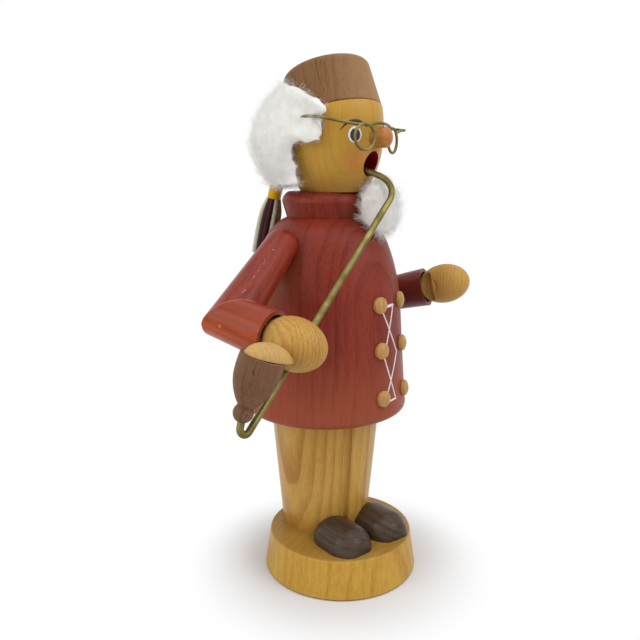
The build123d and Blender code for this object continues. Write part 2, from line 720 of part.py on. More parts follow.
right_temple = [
    lens_point(RIGHT_LENS, 110),
    round_head(-45.9, 20.5, 166.5),
    round_head(-73.7, 19.5, 168.4),
    round_head(-100, 19.4, 168.0),
]
left_temple = [
    lens_point(LEFT_LENS, 40),
    (14.5, -23.0, 164.9),
    (19.8, -21.6, 165.3),
    (21.6, -14.5, 166.2),
    round_head(85, 20.2, 167.0),
    round_head(102, 19.4, 167.2),
]
with BuildPart() as spectacles:
    for lens in (RIGHT_LENS, LEFT_LENS):
        with Locations(Plane(origin=round_head(*lens[:3]), z_dir=turned_front(-lens[3]))):
            Torus(LENS_R, WIRE_R)
    add(wire_run([lens_point(RIGHT_LENS, 72), BRIDGE_TOP, lens_point(LEFT_LENS, 112)], WIRE_R))
    add(wire_run(right_temple, WIRE_R))
    add(wire_run(left_temple, WIRE_R))
finish(spectacles.part, "spectacles")

# Hair: wool around the back of the head, thick behind and thin at the sideburns
head_room = head_ball(WOOL_GAP)
with BuildPart() as hair:
    add(egg((0, HAIR_Y, HAIR_Z), (0, 0, 1), HAIR_R, 2 * HAIR_HALF_H))
    split(bisect_by=Plane.XY.offset(HAIR_LOW_Z), keep=Keep.TOP)
    split(bisect_by=Plane(origin=(0, HEAD_Y - HAIR_FRONT, 0), z_dir=(0, 1, 0)), keep=Keep.TOP)
    with BuildSketch(Plane.XY.offset(HAIR_LOW_Z - 6.0)):
        with Locations((0, HEAD_Y + NAPE_FRONT)):
            Rectangle(80, 50, align=(Align.CENTER, Align.MAX))
    extrude(amount=SIDEBURN_Z - HAIR_LOW_Z + 6.0, mode=Mode.SUBTRACT)
    add(head_room, mode=Mode.SUBTRACT)
    add(cap_shell(WOOL_GAP), mode=Mode.SUBTRACT)
    with BuildSketch(Plane(origin=cap_c, z_dir=cap_axis)):
        Circle(CAP_R - 1.0)
    extrude(amount=-12.0, mode=Mode.SUBTRACT)
    add(wire_run(right_temple, WIRE_R + WOOL_GAP / 2), mode=Mode.SUBTRACT)
    add(wire_run(left_temple, WIRE_R + WOOL_GAP / 2), mode=Mode.SUBTRACT)
finish(largest(hair.part), "hair")

# Beard: a wool tuft under the chin, with the rod lying in it
with BuildPart() as beard:
    add(egg(BEARD_C, (0, 0.08, 1), BEARD_R, 2 * BEARD_HALF_H))
    add(head_room, mode=Mode.SUBTRACT)
    add(jacket_form.part, mode=Mode.SUBTRACT)
    add(rod_tube(ROD_R + WOOL_GAP), mode=Mode.SUBTRACT)
finish(largest(beard.part), "beard")

# Tassel
tassel_dir = Vector(0, sin(radians(TASSEL_LEAN)), -cos(radians(TASSEL_LEAN)))
tassel_out = Vector(0, cos(radians(TASSEL_LEAN)), sin(radians(TASSEL_LEAN)))
tassel_o = Vector(*TASSEL_TOP)
tassel_plane = lathe_plane(tassel_o, tassel_dir)
tassel_axis = Axis(tassel_o, tassel_dir)
with BuildPart() as tassel_wrap:
    with BuildSketch(tassel_plane):
        with BuildLine():
            knot = ThreePointArc((0, 0), (0.63 * WRAP_R, 0.5), (0.93 * WRAP_R, 1.8))
            band = Spline(knot @ 1, (WRAP_R, 0.6 * WRAP_L), (0.89 * WRAP_R, WRAP_L))
            Polyline(band @ 1, (0, WRAP_L), (0, 0))
        make_face()
    revolve(axis=tassel_axis)
finish(tassel_wrap.part, "tassel_wrap")

with BuildPart() as skirt:
    with BuildSketch(tassel_plane):
        with BuildLine():
            root = Line((0, WRAP_L + SEAT_GAP), (0.59 * TASSEL_R, WRAP_L + SEAT_GAP))
            skirt_pts = [(0.87 * TASSEL_R, 10.0), (TASSEL_R, 20.0), (0.95 * TASSEL_R, TASSEL_L)]
            flow = Spline([root @ 1, *skirt_pts])
            Polyline(flow @ 1, (0, TASSEL_L), root @ 0)
        make_face()
    revolve(axis=tassel_axis)


def strands(low, high):
    """Slice of the skirt between two planes across its outward direction."""
    with BuildPart() as slice_of_skirt:
        add(skirt.part)
        split(bisect_by=Plane(origin=tassel_o + tassel_out * low, z_dir=tassel_out), keep=Keep.TOP)
        split(bisect_by=Plane(origin=tassel_o + tassel_out * high, z_dir=tassel_out), keep=Keep.BOTTOM)
    return slice_of_skirt.part


beyond = TASSEL_R + 1.0
finish(strands(STRAND_HALF + STRAND_GAP, beyond), "tassel_pale")
finish(strands(-STRAND_HALF, STRAND_HALF), "tassel_maroon")
finish(strands(-beyond, -STRAND_HALF - STRAND_GAP), "tassel_olive")
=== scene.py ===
"""Looks of the turned incense smoker: stained and lacquered woods, brass wire, a painted face and lacing,
wool hair and beard and a yarn tassel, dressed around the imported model."""
import json
import random
from math import cos, pi, radians, sin

import bpy
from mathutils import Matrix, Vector

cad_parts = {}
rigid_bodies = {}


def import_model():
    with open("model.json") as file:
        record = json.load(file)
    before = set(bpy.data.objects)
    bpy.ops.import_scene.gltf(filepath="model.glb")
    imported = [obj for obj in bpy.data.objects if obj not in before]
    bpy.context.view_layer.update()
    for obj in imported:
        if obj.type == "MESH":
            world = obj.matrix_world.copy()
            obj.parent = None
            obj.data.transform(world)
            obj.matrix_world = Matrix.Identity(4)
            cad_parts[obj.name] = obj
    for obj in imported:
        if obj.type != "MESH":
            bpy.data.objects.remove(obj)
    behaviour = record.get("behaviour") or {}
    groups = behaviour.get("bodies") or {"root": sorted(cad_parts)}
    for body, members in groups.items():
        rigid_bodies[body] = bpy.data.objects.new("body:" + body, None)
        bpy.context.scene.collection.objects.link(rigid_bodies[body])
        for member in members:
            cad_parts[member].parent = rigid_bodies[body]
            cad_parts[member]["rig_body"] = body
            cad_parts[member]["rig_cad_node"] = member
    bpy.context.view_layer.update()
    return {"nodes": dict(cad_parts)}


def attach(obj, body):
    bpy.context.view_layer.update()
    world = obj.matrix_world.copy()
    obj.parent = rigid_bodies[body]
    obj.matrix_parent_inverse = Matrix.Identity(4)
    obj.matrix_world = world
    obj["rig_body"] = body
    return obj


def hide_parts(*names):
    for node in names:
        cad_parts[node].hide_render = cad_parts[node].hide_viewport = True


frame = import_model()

NODES = frame["nodes"]
MM = 0.001
UP = Vector((0, 0, 1))

# Head: places in millimetres, angles in degrees from the front
HEAD_Y = -3.5
FACE_TURN = 3.0
NECK_Z = 144.0
CHIN_Z = 152.0
MOUTH_Z = 153.2
MOUTH_R = 4.2
NOSE_Z = 162.0
NOSE_TIP = 23.8
EYE_ANGLE = 34.3
EYE_Z = 162.7
EYE_WHITE_SIZE = (2.72, 2.76)
EYE_WHITE_LIFT = 0.05
PUPIL_SIZE = (1.95, 2.15)
PUPIL_LIFT = 0.1
PUPIL_SHIFT = 0.1
CHEEK_ANGLE = 30.0
CHEEK_R = 17.0
CHEEK_Z = 154.0
CAP_PLACE = (0.0, -3.8, 169.2)
CAP_AXIS = (0.093, 0.286, 0.954)
# Way, start and end of the painted light on the cap
CAP_LIT_WAY = (0.54, -0.84, 0.0)
CAP_LIT_FROM = -4.0
CAP_LIT_TO = 20.0

# Brow: angle, height and half width of each point
BROW_CURVE = [
    (51.4, 164.1, 0.12), (47.0, 165.7, 0.34), (42.0, 166.8, 0.54), (36.0, 167.3, 0.66),
    (30.0, 167.2, 0.64), (25.0, 166.6, 0.5), (21.0, 165.9, 0.32), (18.1, 165.3, 0.14),
]

# Arms and pipe, in millimetres
RIGHT_ELBOW = (-55.2, -0.6, 105.4)
RIGHT_UPPER_ARM = (30.2, 2.0, 21.1)
RIGHT_FOREARM = (-55.67, -0.07, 105.18)
RIGHT_REACH = (0.008, -0.982, -0.189)
RIGHT_HAND = (-55.0, -25.0, 100.7)
LEFT_ELBOW = (50.5, -0.6, 98.2)
LEFT_UPPER_ARM = (-25.5, 2.0, 28.3)
LEFT_FOREARM = (50.85, 0.01, 97.53)
LEFT_REACH = (0.153, -0.958, 0.245)
LEFT_HAND = (54.5, -25.6, 104.6)
RIGHT_MITRE = Vector(RIGHT_UPPER_ARM).normalized() - Vector(RIGHT_REACH).normalized()
LEFT_MITRE = Vector(LEFT_UPPER_ARM).normalized() - Vector(LEFT_REACH).normalized()
CUFF_R = 6.7
CUFF_FROM = 8.0
# Ends of the painted highlight along the right upper sleeve
HIGHLIGHT_TOP = (-35.1, -2.2, 125.8)
HIGHLIGHT_FOOT = (-54.0, -3.8, 113.8)
CHIP = (-63.1, -2.2, 104.7)
THUMB = (-72.0, -26.0, 101.5)
BOWL_FOOT = (-76.0, -21.35, 84.6)
BOWL_AXIS = (0.22, -0.26, 0.94)

# Jacket, legs, shoes and base, in millimetres
JACKET_Z = 61.6
# Height of the painted light along the lower edge of the jacket
JACKET_LIT_EDGE_H = 34.0
BROWNER_BY_ARM = (-24.6, 4.3, 113.0)
LEG_MIDDLE = (0, 0, 38)
# Height of the painted shade above the base on the legs
LEG_SHADE_H = 9.0
SHOE_AXIS = (-0.326, -0.946, 0.0)
BASE_CENTRE = (-4.1, -9.8, 0.0)
BASE_H = 14.6

# Lacing: angle and height of each corner
LACING_TOP = ((-13.6, 103.6), (1.8, 103.7))
LACING_MIDDLE = ((-11.9, 85.9), (5.0, 86.3))
LACING_LOW = ((-12.9, 69.1), (0.2, 69.2))
LACING_STEPS = 9

# Wool, in millimetres; a tuft is its size and its height
WOOL_VOXEL = 0.8
WOOL_TUFTS = ((5.0, 1.4), (2.2, 0.6))
FLUFF = {"count": 600, "length": 1.7, "thickness": 0.035, "curl": 0.45}
WISPS = {"count": 500, "length": 2.7, "thickness": 0.028, "curl": 0.9}
HAIR_SHRINK = 1.1
BEARD_SHRINK = 1.4
BEHIND_CAP = (0.0, 8.8, 172.8)
BEHIND_CAP_RADII = (16.2, 9.2, 10.0)
OVER_TASSEL = (0.0, 18.4, 147.9)
OVER_TASSEL_RADII = (3.2, 2.6, 2.4)
NAPE_Z = 146.2
SIDEBURN_Z = 160.6
HAIR_FRONT_Z = 147.5
HAIR_BESIDE_CAP_R = 18.0
HAIR_BESIDE_CAP_H = 13.4
TEMPLE_FRONT = (-68, 22.0, 168.6)
TEMPLE_BACK = (-98, 23.6, 167.4)
TEMPLE_FURROW_R = 1.7

# Tassel, in millimetres and degrees; the route of a strand is its way down and its share of the spread
TASSEL_TOP = (0.0, 22.3, 145.4)
TASSEL_LEAN = 15.0
STRAND_ROUTE = [(5.4, 0.55), (7.5, 0.75), (10.5, 1.0), (16.0, 1.08), (22.0, 1.06), (27.6, 1.0)]
BAND_TURNS = 13
BAND_PITCH = 0.42
BAND_START = 0.6
BAND_R = 2.3
BAND_YARN_R = 0.27

# Stage, in metres, degrees and watts
FLOOR_SIZE = 6.0
FLOOR_FADE_FROM = 0.028
FLOOR_FADE_TO = 0.062
WORLD_LIGHT = 0.5
LAMP_AIM = Vector((0, 0, 0.1))
LAMPS = [
    ("top_light", (-0.05, -0.1, 0.75), 0.7, 2.0),
    ("left_light", (-0.55, 0.25, 0.4), 0.5, 1.45),
    ("right_light", (0.05, -0.62, 0.55), 0.5, 2.0),
]
CAMERA_PLACE = (-0.2196, -0.1402, 0.1509)
CAMERA_TILT = 77.88
CAMERA_TURN = -57.0
CAMERA_SENSOR = 36.0
CAMERA_LENS = 39.17
CAMERA_NEAR = 0.01


def mm(point):
    """A point in metres from one in millimetres."""
    return Vector(point) * MM


def on_head(angle, radius, z):
    """A point at an angle from the front, a radius from the axis of the head and a height."""
    return (radius * sin(radians(angle)), HEAD_Y - radius * cos(radians(angle)), z)


def on_cap(angle, radius, height):
    """A point beside the leaning cap, its angle counted from the front."""
    axis = Vector(CAP_AXIS).normalized()
    aside = Vector((1, 0, 0)).cross(axis).cross(axis).normalized() * -1
    ahead = axis.cross(aside) * -1
    spoke = aside * sin(radians(angle)) + ahead * cos(radians(angle))
    return Vector(CAP_PLACE) + axis * height + spoke * radius


def srgb(red, green, blue):
    """A linear colour from the three 8-bit values that it has on a screen."""
    def linear(value):
        share = value / 255
        return share / 12.92 if share <= 0.04045 else ((share + 0.055) / 1.055) ** 2.4
    return (linear(red), linear(green), linear(blue), 1.0)


# Shader node helpers

def feed(tree, socket, value):
    """Links the socket to another one, or sets its value."""
    if isinstance(value, bpy.types.NodeSocket):
        tree.links.new(value, socket)
    else:
        socket.default_value = value


def calc(tree, operation, *values):
    made = tree.nodes.new("ShaderNodeMath")
    made.operation = operation
    for socket, value in zip(made.inputs, values):
        feed(tree, socket, value)
    return made.outputs[0]


def vector_calc(tree, operation, first, second):
    made = tree.nodes.new("ShaderNodeVectorMath")
    made.operation = operation
    feed(tree, made.inputs[0], first)
    feed(tree, made.inputs[1], second)
    return made.outputs["Value" if operation in ("LENGTH", "DISTANCE", "DOT_PRODUCT") else "Vector"]


def noise(tree, vector, detail=2.0, crispness=0.5):
    made = tree.nodes.new("ShaderNodeTexNoise")
    feed(tree, made.inputs["Vector"], vector)
    feed(tree, made.inputs["Detail"], detail)
    feed(tree, made.inputs["Roughness"], crispness)
    made.inputs["Scale"].default_value = 1.0
    return made.outputs["Fac"]


def scaled(tree, vector, per_mm):
    """A vector in metres brought to so many units to the millimetre along each axis."""
    return vector_calc(tree, "MULTIPLY", vector, tuple(number / MM for number in per_mm))


def ramp(tree, value, start, end, low=0.0, high=1.0):
    """A smooth step from low at start to high at end."""
    made = tree.nodes.new("ShaderNodeMapRange")
    made.interpolation_type = "SMOOTHSTEP"
    for label, number in (("From Min", start), ("From Max", end), ("To Min", low), ("To Max", high)):
        feed(tree, made.inputs[label], number)
    feed(tree, made.inputs["Value"], value)
    return made.outputs["Result"]


def mix_colour(tree, share, first, second):
    made = tree.nodes.new("ShaderNodeMix")
    made.data_type = "RGBA"
    feed(tree, made.inputs["Factor"], share)
    feed(tree, made.inputs[6], first)
    feed(tree, made.inputs[7], second)
    return made.outputs[2]


def emboss(tree, shader, height, strength, depth):
    """Lets a height map bend the normals of a shader."""
    made = tree.nodes.new("ShaderNodeBump")
    made.inputs["Strength"].default_value = strength
    made.inputs["Distance"].default_value = depth * MM
    tree.links.new(height, made.inputs["Height"])
    tree.links.new(made.outputs["Normal"], shader.inputs["Normal"])


def new_group(name, inputs, outputs):
    """An empty shader group: its tree, what comes in and what goes out."""
    tree = bpy.data.node_groups.new(name, "ShaderNodeTree")
    for label, kind in inputs:
        tree.interface.new_socket(label, in_out="INPUT", socket_type="NodeSocket" + kind)
    for label, kind in outputs:
        tree.interface.new_socket(label, in_out="OUTPUT", socket_type="NodeSocket" + kind)
    source = tree.nodes.new("NodeGroupInput")
    sink = tree.nodes.new("NodeGroupOutput")
    return tree, source.outputs, sink.inputs


def place_group(tree, group, values):
    made = tree.nodes.new("ShaderNodeGroup")
    made.node_tree = group
    for label, value in values.items():
        feed(tree, made.inputs[label], value)
    return made.outputs


def wood_figure():
    """Growth rings about the grain axis, fibre streaks along it, and short dark pores."""
    tree, given, out = new_group(
        "wood_figure",
        [("Vector", "Vector"), ("Early", "Color"), ("Late", "Color"), ("Pore", "Color"),
         ("Ring Width", "Float"), ("Ring Strength", "Float"), ("Fibre Strength", "Float"),
         ("Pore Amount", "Float")],
        [("Color", "Color"), ("Grain", "Float")],
    )
    vector = given["Vector"]
    wander = noise(tree, scaled(tree, vector, (0.05, 0.05, 0.016)))
    across = scaled(tree, vector, (1.0, 1.0, 0.0))
    radius = vector_calc(tree, "LENGTH", across, (0.0, 0.0, 0.0))
    phase = calc(tree, "DIVIDE", calc(tree, "MULTIPLY_ADD", wander, 9.0, radius), given["Ring Width"])
    share = calc(tree, "FRACT", phase)
    late = calc(tree, "MULTIPLY", ramp(tree, share, 0.25, 0.9), ramp(tree, share, 0.9, 1.0, 1.0, 0.0))
    odd = tree.nodes.new("ShaderNodeTexWhiteNoise")
    odd.noise_dimensions = "1D"
    feed(tree, odd.inputs["W"], calc(tree, "FLOOR", phase))
    ring = calc(tree, "MULTIPLY", late, calc(tree, "MULTIPLY_ADD", odd.outputs["Value"], 0.8, 0.2))
    ring = calc(tree, "MULTIPLY", ring, given["Ring Strength"])
    fibre = noise(tree, scaled(tree, vector, (1.9, 1.9, 0.07)), 4.0, 0.62)
    fibre = calc(tree, "MULTIPLY", calc(tree, "SUBTRACT", fibre, 0.5), given["Fibre Strength"])
    tone = noise(tree, scaled(tree, vector, (0.07, 0.07, 0.03)))
    tone = calc(tree, "MULTIPLY_ADD", calc(tree, "SUBTRACT", tone, 0.5), 0.9, 0.28)
    dark = calc(tree, "ADD", calc(tree, "ADD", ring, fibre), tone)
    body = mix_colour(tree, ramp(tree, dark, -0.1, 1.1), given["Early"], given["Late"])
    pores = noise(tree, scaled(tree, vector, (2.6, 2.6, 0.33)), 1.0)
    pores = calc(tree, "MULTIPLY", ramp(tree, pores, 0.62, 0.72), given["Pore Amount"])
    tree.links.new(mix_colour(tree, pores, body, given["Pore"]), out["Color"])
    raised = calc(tree, "MULTIPLY_ADD", fibre, 0.5, 0.5)
    tree.links.new(calc(tree, "SUBTRACT", raised, calc(tree, "MULTIPLY", pores, 0.5)), out["Grain"])
    return tree


def handled_finish():
    """Roughness of a varnished or waxed surface: cloudy, with faint rubbed patches."""
    tree, given, out = new_group(
        "handled_finish",
        [("Vector", "Vector"), ("Roughness", "Float"), ("Spread", "Float")],
        [("Roughness", "Float")],
    )
    cloud = noise(tree, scaled(tree, given["Vector"], (0.12, 0.12, 0.12)), 5.0, 0.6)
    cloud = calc(tree, "MULTIPLY", calc(tree, "SUBTRACT", cloud, 0.5), given["Spread"])
    tree.links.new(calc(tree, "ADD", cloud, given["Roughness"]), out["Roughness"])
    return tree


def mottled_tones():
    """Two tones in soft patches, with a roughness that follows them."""
    tree, given, out = new_group(
        "mottled_tones",
        [("Vector", "Vector"), ("Detail", "Float"), ("Crispness", "Float"), ("Bright", "Color"),
         ("Shade", "Color"), ("Shade From", "Float"), ("Shade To", "Float"), ("Rough From", "Float"),
         ("Rough To", "Float"), ("Smoothest", "Float"), ("Roughest", "Float")],
        [("Color", "Color"), ("Roughness", "Float")],
    )
    cloud = noise(tree, given["Vector"], given["Detail"], given["Crispness"])
    share = ramp(tree, cloud, given["Shade From"], given["Shade To"])
    tree.links.new(mix_colour(tree, share, given["Bright"], given["Shade"]), out["Color"])
    rough = ramp(tree, cloud, given["Rough From"], given["Rough To"], given["Smoothest"], given["Roughest"])
    tree.links.new(rough, out["Roughness"])
    return tree


WOOD_FIGURE = wood_figure()
HANDLED_FINISH = handled_finish()
MOTTLED_TONES = mottled_tones()


def new_material(name):
    made = bpy.data.materials.new(name)
    made.use_nodes = True
    return made, made.node_tree, made.node_tree.nodes["Principled BSDF"]


def object_point(tree):
    return tree.nodes.new("ShaderNodeTexCoord").outputs["Object"]


def mottled(name, per_mm, detail, crispness, tones, blend, gloss, roughness):
    """A material of two tones, blended over one span of its clouds and roughened over another."""
    made, tree, shader = new_material(name)
    look = place_group(tree, MOTTLED_TONES, {
        "Vector": scaled(tree, object_point(tree), per_mm), "Detail": detail, "Crispness": crispness,
        "Bright": tones[0], "Shade": tones[1], "Shade From": blend[0], "Shade To": blend[1],
        "Rough From": gloss[0], "Rough To": gloss[1], "Smoothest": roughness[0], "Roughest": roughness[1],
    })
    tree.links.new(look["Color"], shader.inputs["Base Color"])
    tree.links.new(look["Roughness"], shader.inputs["Roughness"])
    return made, tree, shader


def grain_vector(tree, axis, centre, pith):
    """Coordinates whose z runs along the grain, with the pith off to the side of the piece."""
    turn = Vector(axis).normalized().rotation_difference(UP)
    mapping = tree.nodes.new("ShaderNodeMapping")
    tree.links.new(object_point(tree), mapping.inputs["Vector"])
    mapping.inputs["Rotation"].default_value = turn.to_euler()
    mapping.inputs["Location"].default_value = mm(pith) - turn @ mm(centre)
    return mapping.outputs["Vector"]


def wood(name, early, late, pore, axis=(0, 0, 1), centre=(0, 0, 0), pith=(34, 18, 0), ring_width=2.4,
         ring=0.5, fibre=1.0, pores=0.5, roughness=0.4, spread=0.2, coat=0.0, coat_roughness=0.2, bump=0.1):
    """A turned wood with its figure and its finish."""
    made, tree, shader = new_material(name)
    vector = grain_vector(tree, axis, centre, pith)
    figure = place_group(tree, WOOD_FIGURE, {
        "Vector": vector, "Early": early, "Late": late, "Pore": pore, "Ring Width": ring_width,
        "Ring Strength": ring, "Fibre Strength": fibre, "Pore Amount": pores,
    })
    finish = place_group(tree, HANDLED_FINISH, {"Vector": vector, "Roughness": roughness, "Spread": spread})
    tree.links.new(figure["Color"], shader.inputs["Base Color"])
    tree.links.new(finish["Roughness"], shader.inputs["Roughness"])
    shader.inputs["Specular IOR Level"].default_value = 0.14
    shader.inputs["Coat Weight"].default_value = coat
    shader.inputs["Coat Roughness"].default_value = coat_roughness
    emboss(tree, shader, figure["Grain"], strength=bump, depth=0.2)
    return made


def paint_over(made, mask, colour):
    """Lays a colour over the base colour of a material where the mask is one."""
    tree = made.node_tree
    shader = tree.nodes["Principled BSDF"]
    under = shader.inputs["Base Color"].links[0].from_socket
    tree.links.new(mix_colour(tree, mask, under, colour), shader.inputs["Base Color"])


def paint_spot(made, place, core, edge, share, colour):
    """Lays a share of a colour within core millimetres of a place, falling softly to nothing at edge."""
    tree = made.node_tree
    distance = vector_calc(tree, "DISTANCE", object_point(tree), tuple(mm(place)))
    paint_over(made, ramp(tree, distance, core * MM, edge * MM, share, 0.0), colour)


def paint_plane(made, place, normal, width, share, colour):
    """Lays a share of a colour along a plane, falling to nothing at a width from it."""
    tree = made.node_tree
    away = vector_calc(tree, "SUBTRACT", object_point(tree), tuple(mm(place)))
    off = vector_calc(tree, "DOT_PRODUCT", away, tuple(Vector(normal).normalized()))
    paint_over(made, ramp(tree, calc(tree, "ABSOLUTE", off), 0.0, width * MM, share, 0.0), colour)


def paint_by_height(made, low_z, high_z, low_share, high_share, colour):
    """Lays a colour in a share that changes between two heights."""
    tree = made.node_tree
    height = vector_calc(tree, "DOT_PRODUCT", object_point(tree), tuple(UP))
    paint_over(made, ramp(tree, height, low_z * MM, high_z * MM, low_share, high_share), colour)


def bore_mask(tree, place, axis, radius, edge):
    """One within a radius of an axis, on the side that the axis points to."""
    away = vector_calc(tree, "SUBTRACT", object_point(tree), tuple(mm(place)))
    way = tuple(Vector(axis).normalized())
    distance = vector_calc(tree, "LENGTH", vector_calc(tree, "CROSS_PRODUCT", away, way), (0, 0, 0))
    ahead = calc(tree, "GREATER_THAN", vector_calc(tree, "DOT_PRODUCT", away, way), 0.0)
    return calc(tree, "MULTIPLY", ahead, ramp(tree, distance, radius * MM, (radius + edge) * MM, 1.0, 0.0))


def paint_highlight_flecks(made, start, end, width, share, colour):
    """Strews flecks of a colour along a line, for a painted highlight broken into flecks."""
    tree = made.node_tree
    way = Vector(end) - Vector(start)
    past_start = bore_mask(tree, start, way, width, width)
    strip = calc(tree, "MULTIPLY", past_start, bore_mask(tree, end, -way, width, width))
    flecks = noise(tree, scaled(tree, object_point(tree), (1.4, 1.4, 1.4)), 3.0, 0.6)
    paint_over(made, calc(tree, "MULTIPLY", strip, ramp(tree, flecks, 0.58, 0.68, 0.0, share)), colour)


# Woods

TAN_EARLY = srgb(196, 152, 62)
TAN_LATE = srgb(160, 108, 28)
TAN_PORE = srgb(122, 76, 22)
RED_PORE = srgb(70, 20, 11)


def head_wood():
    """Lacquered wood with rosy cheeks and a dark red mouth bore, darker towards the neck."""
    made = wood("head_lacquered_wood", TAN_EARLY, TAN_LATE, TAN_PORE, pith=(30, 42, 0), ring=0.15,
                fibre=0.6, pores=0.12, roughness=0.36, coat=0.12)
    for side in (-1, 1):
        cheek = on_head(side * CHEEK_ANGLE, CHEEK_R, CHEEK_Z)
        paint_spot(made, cheek, core=0.5, edge=7.5, share=0.42, colour=srgb(196, 96, 62))
    forward = (-sin(radians(FACE_TURN)), -cos(radians(FACE_TURN)), 0.0)
    bore = bore_mask(made.node_tree, (0, HEAD_Y, MOUTH_Z), forward, MOUTH_R + 0.02, 0.2)
    paint_over(made, bore, srgb(128, 18, 26))
    paint_by_height(made, NECK_Z, CHIN_Z, low_share=0.4, high_share=0.0, colour=srgb(116, 78, 36))
    return made


def nose_wood():
    """Lacquered wood with a rosy tip."""
    made = wood("nose_rosy_wood", srgb(184, 132, 68), srgb(150, 98, 42), TAN_PORE, axis=(0, 1, 0),
                ring=0.3, pores=0.3, roughness=0.36, coat=0.18)
    tip = on_head(-FACE_TURN, NOSE_TIP + 2.0, NOSE_Z)
    paint_spot(made, tip, core=0.5, edge=9.0, share=0.45, colour=srgb(190, 88, 36))
    return made


def jacket_wood():
    """Red stained wood, with painted light along its lower edge, and browner beside the right arm."""
    made = wood("jacket_stained_wood", srgb(138, 53, 36), srgb(99, 28, 18), srgb(68, 18, 11),
                pith=(16, 60, 0), ring_width=3.0, ring=0.35, fibre=1.5, pores=0.35, roughness=0.42,
                spread=0.25, coat=0.05, coat_roughness=0.3)
    # Painted light from below: lighter towards the lower edge of the jacket.
    paint_by_height(made, JACKET_Z, JACKET_Z + JACKET_LIT_EDGE_H, low_share=0.4, high_share=0.0,
                    colour=srgb(176, 98, 64))
    # A browner patch beside the right arm.
    paint_spot(made, BROWNER_BY_ARM, core=4.0, edge=17.0, share=0.55, colour=srgb(136, 76, 42))
    return made


def sleeve_wood(name, start, axis, pith, mitre, early, late):
    """Red stained and lacquered wood, rubbed along the mitre of the elbow."""
    made = wood(name, early, late, RED_PORE, axis=axis, centre=start, pith=pith, ring_width=2.6, ring=0.3,
                fibre=1.0, pores=0.3, roughness=0.3, coat=0.1, coat_roughness=0.1)
    paint_plane(made, start, mitre, width=0.7, share=0.5, colour=srgb(192, 118, 62))
    return made


def cuff_wood(name, start, axis, pith, mitre, early, late):
    """A sleeve that ends in a cuff, dusty inside its bore, with painted shade towards the top."""
    made = sleeve_wood(name, start, axis, pith, mitre, early, late)
    inside = Vector(start) + Vector(axis).normalized() * CUFF_FROM
    bore = bore_mask(made.node_tree, inside, axis, CUFF_R + 0.05, 0.2)
    paint_over(made, bore, srgb(165, 125, 120))
    # Painted shade: darker towards the top of the sleeve.
    paint_by_height(made, start[2] - 3.0, start[2] + 6.5, low_share=0.0, high_share=0.7,
                    colour=srgb(112, 42, 34))
    return made


def right_sleeve_wood():
    """The right upper sleeve, with a painted highlight along it, broken into pale flecks."""
    made = sleeve_wood("right_sleeve_wood", RIGHT_ELBOW, RIGHT_UPPER_ARM, (14, 20, 0), RIGHT_MITRE,
                       srgb(148, 54, 32), srgb(94, 24, 14))
    # Painted highlight: pale flecks along the crest of the sleeve.
    paint_highlight_flecks(made, HIGHLIGHT_TOP, HIGHLIGHT_FOOT, width=0.35, share=0.8, colour=srgb(222, 170, 150))
    return made


def right_cuff_wood():
    """The right forearm, with a chip in its lacquer."""
    made = cuff_wood("right_cuff_wood", RIGHT_FOREARM, RIGHT_REACH, (10, 18, 0), RIGHT_MITRE,
                     srgb(188, 85, 36), srgb(132, 46, 20))
    paint_spot(made, CHIP, core=0.2, edge=0.65, share=1.0, colour=srgb(208, 130, 58))
    return made


# The left upper sleeve, in darker colours than the right: painted shade of the far arm.
def left_sleeve_wood():
    return sleeve_wood("left_sleeve_wood", LEFT_ELBOW, LEFT_UPPER_ARM, (-12, 22, 0), LEFT_MITRE,
                       srgb(130, 50, 34), srgb(84, 26, 18))


# The left forearm, much darker than the right: painted shade of the far arm.
def left_cuff_wood():
    return cuff_wood("left_cuff_wood", LEFT_FOREARM, LEFT_REACH, (16, 12, 0), LEFT_MITRE,
                     srgb(112, 52, 44), srgb(74, 32, 28))


def hand_wood(name, centre, pith, ring, pores):
    """Plain light wood with the grain across the fist."""
    return wood(name, srgb(198, 155, 82), srgb(154, 106, 42), srgb(116, 70, 26), axis=(0.15, 0.0, 1.0),
                centre=centre, pith=pith, ring_width=1.3, ring=ring, fibre=0.9, pores=pores,
                roughness=0.45, bump=0.15)


def right_hand_wood():
    """The fist that holds the pipe, paler on the thumb."""
    made = hand_wood("right_hand_wood", RIGHT_HAND, pith=(-26, 16, 0), ring=0.45, pores=0.5)
    paint_spot(made, THUMB, core=5.0, edge=9.0, share=0.25, colour=srgb(216, 188, 138))
    return made


def base_wood():
    """Lacquered wood with a darker top face, and painted contact shadow along its lower edge."""
    made = wood("base_lacquered_wood", srgb(204, 161, 66), srgb(166, 116, 28), TAN_PORE,
                centre=BASE_CENTRE, pith=(20, 70, 0), ring_width=3.2, ring=0.3, fibre=1.2, pores=0.35,
                roughness=0.38, coat=0.15)
    # Darker towards the top face.
    paint_by_height(made, BASE_H - 0.5, BASE_H, low_share=0.0, high_share=0.4, colour=srgb(96, 72, 46))
    # Painted contact shadow: a thin dark band at the foot of the side.
    paint_by_height(made, 0.2, 0.9, low_share=0.6, high_share=0.0, colour=srgb(92, 70, 40))
    return made


def leg_wood():
    """Lacquered wood with a broad figure, and painted shade towards the foot where it meets the base."""
    made = wood("leg_lacquered_wood", srgb(206, 163, 80), srgb(164, 113, 38), TAN_PORE,
                axis=(0.06, -0.03, 1), centre=LEG_MIDDLE, pith=(38, -6, 0), ring_width=3.6, ring=0.5,
                fibre=0.8, pores=0.15, roughness=0.36, coat=0.18)
    # Painted shade: darker and more orange towards the foot, above the base.
    paint_by_height(made, BASE_H, BASE_H + LEG_SHADE_H, low_share=0.4, high_share=0.0,
                    colour=srgb(152, 94, 32))
    return made


